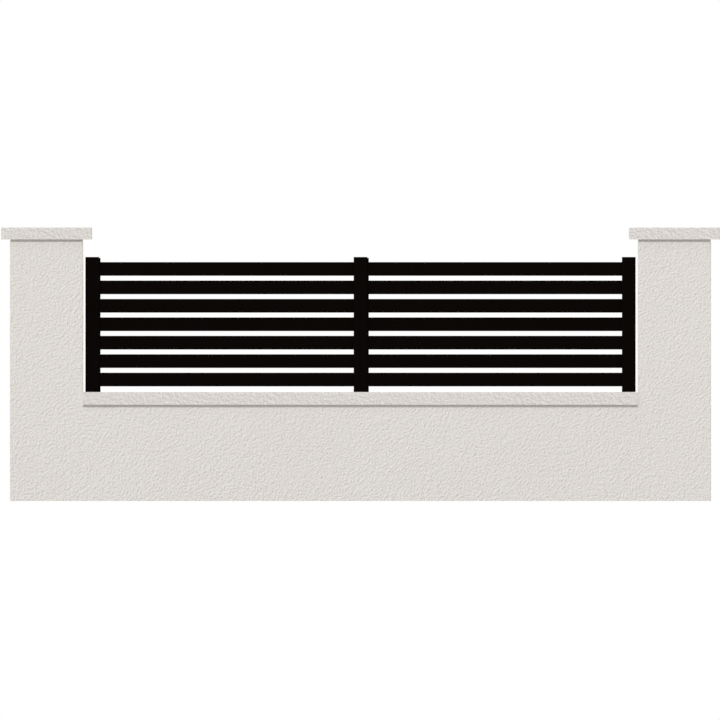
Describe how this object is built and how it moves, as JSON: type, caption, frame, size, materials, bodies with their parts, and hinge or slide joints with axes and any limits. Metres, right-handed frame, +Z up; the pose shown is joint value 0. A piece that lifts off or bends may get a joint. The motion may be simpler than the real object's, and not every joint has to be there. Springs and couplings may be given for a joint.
{
  "type": "slatted fence on a rendered low wall between two pillars",
  "caption": "Black horizontal-slat aluminium fence in bays on the flat coping of a rendered low wall, between taller rendered square pillars with flat overhanging caps.",
  "frame": {"origin": "on the ground, at the middle of the wall's length and of the pillars' depth", "axes": "+X along the fence to the right as seen from the fair face, -Y out of the fair face, +Z up"},
  "size_m": [3.94, 0.5, 1.5],
  "materials": {
    "render": "off-white textured render",
    "casting": "off-white fine-grained cast stone",
    "mortar": "grey raked mortar",
    "coating": "matt black powder-coated aluminium",
    "spacer": "black moulded plastic"
  },
  "bodies": {
    "root": {"left_pillar": "render", "right_pillar": "render", "low_wall": "render", "left_cap_mortar": "mortar", "right_cap_mortar": "mortar", "coping_mortar": "mortar", "left_pillar_cap": "casting", "right_pillar_cap": "casting", "wall_coping": "casting", "left_post_foot": "coating", "centre_post_foot": "coating", "right_post_foot": "coating", "left_post": "coating", "centre_post": "coating", "right_post": "coating", "left_post_cap": "coating", "centre_post_cap": "coating", "right_post_cap": "coating", "left_end_channel": "coating", "right_end_channel": "coating", "left_slats": "coating", "right_slats": "coating", "left_bay_start_spacers": "spacer", "left_bay_end_spacers": "spacer", "right_bay_start_spacers": "spacer", "right_bay_end_spacers": "spacer"}
  },
  "joints": []
}
